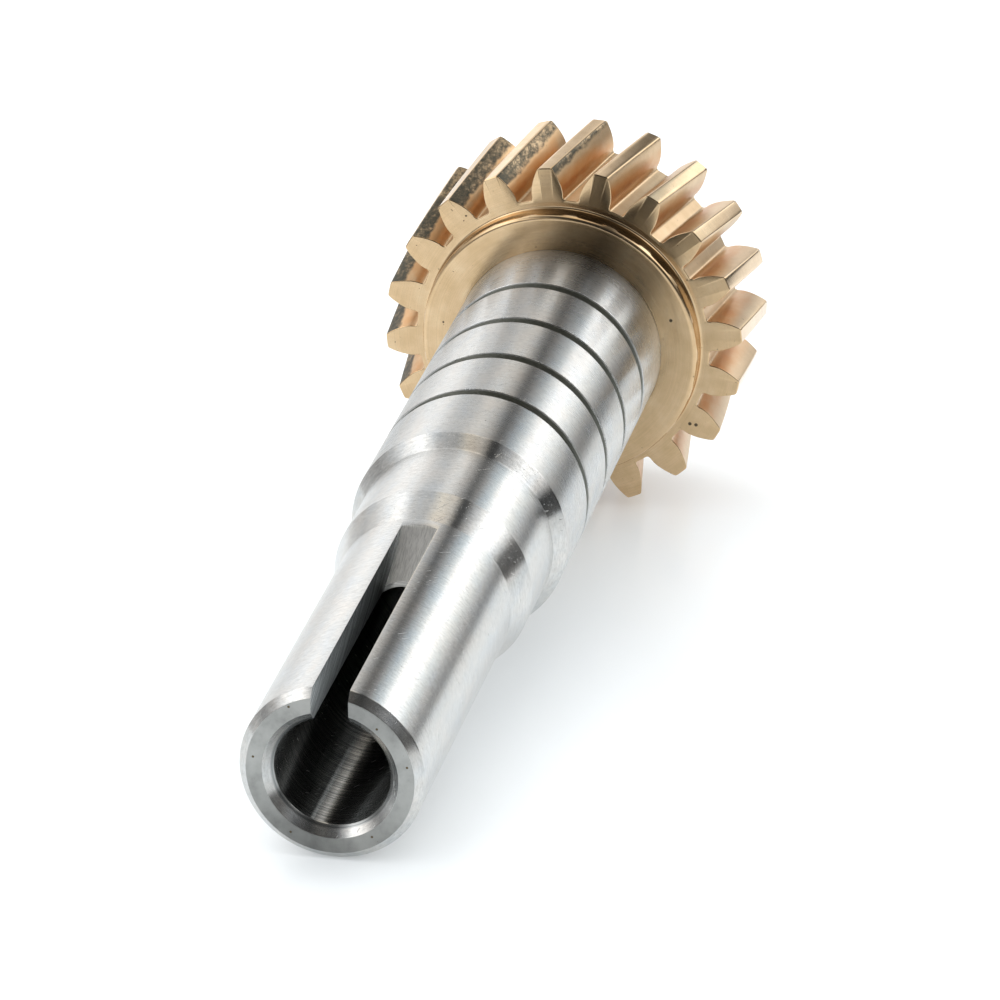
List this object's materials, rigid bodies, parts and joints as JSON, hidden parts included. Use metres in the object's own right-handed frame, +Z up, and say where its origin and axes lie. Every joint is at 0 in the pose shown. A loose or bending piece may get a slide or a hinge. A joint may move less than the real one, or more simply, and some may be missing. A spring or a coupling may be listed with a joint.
{
  "type": "worm gear set",
  "caption": "Bronze helical worm wheel keyed to a hollow stepped steel shaft with a slotted nose and a grooved journal.",
  "frame": {"origin": "on the shaft axis, half way between the nose end face and the rear end face", "axes": "+X along the shaft axis from the slotted nose to the worm wheel, +Z up through the middle of the nose slot, +Y completes a right-handed frame"},
  "size_m": [0.1136, 0.0352, 0.0352],
  "materials": {
    "turned_steel": "fine turned, bright, with round tool marks",
    "bronze": "turned bronze faces, hobbed teeth with darker flanks",
    "key_steel": "ground bright key steel",
    "spring_steel": "phosphated spring steel"
  },
  "bodies": {
    "root": {"hollow_shaft": "turned_steel", "worm_wheel": "bronze", "drive_key": "key_steel", "retaining_ring": "spring_steel"}
  },
  "joints": []
}
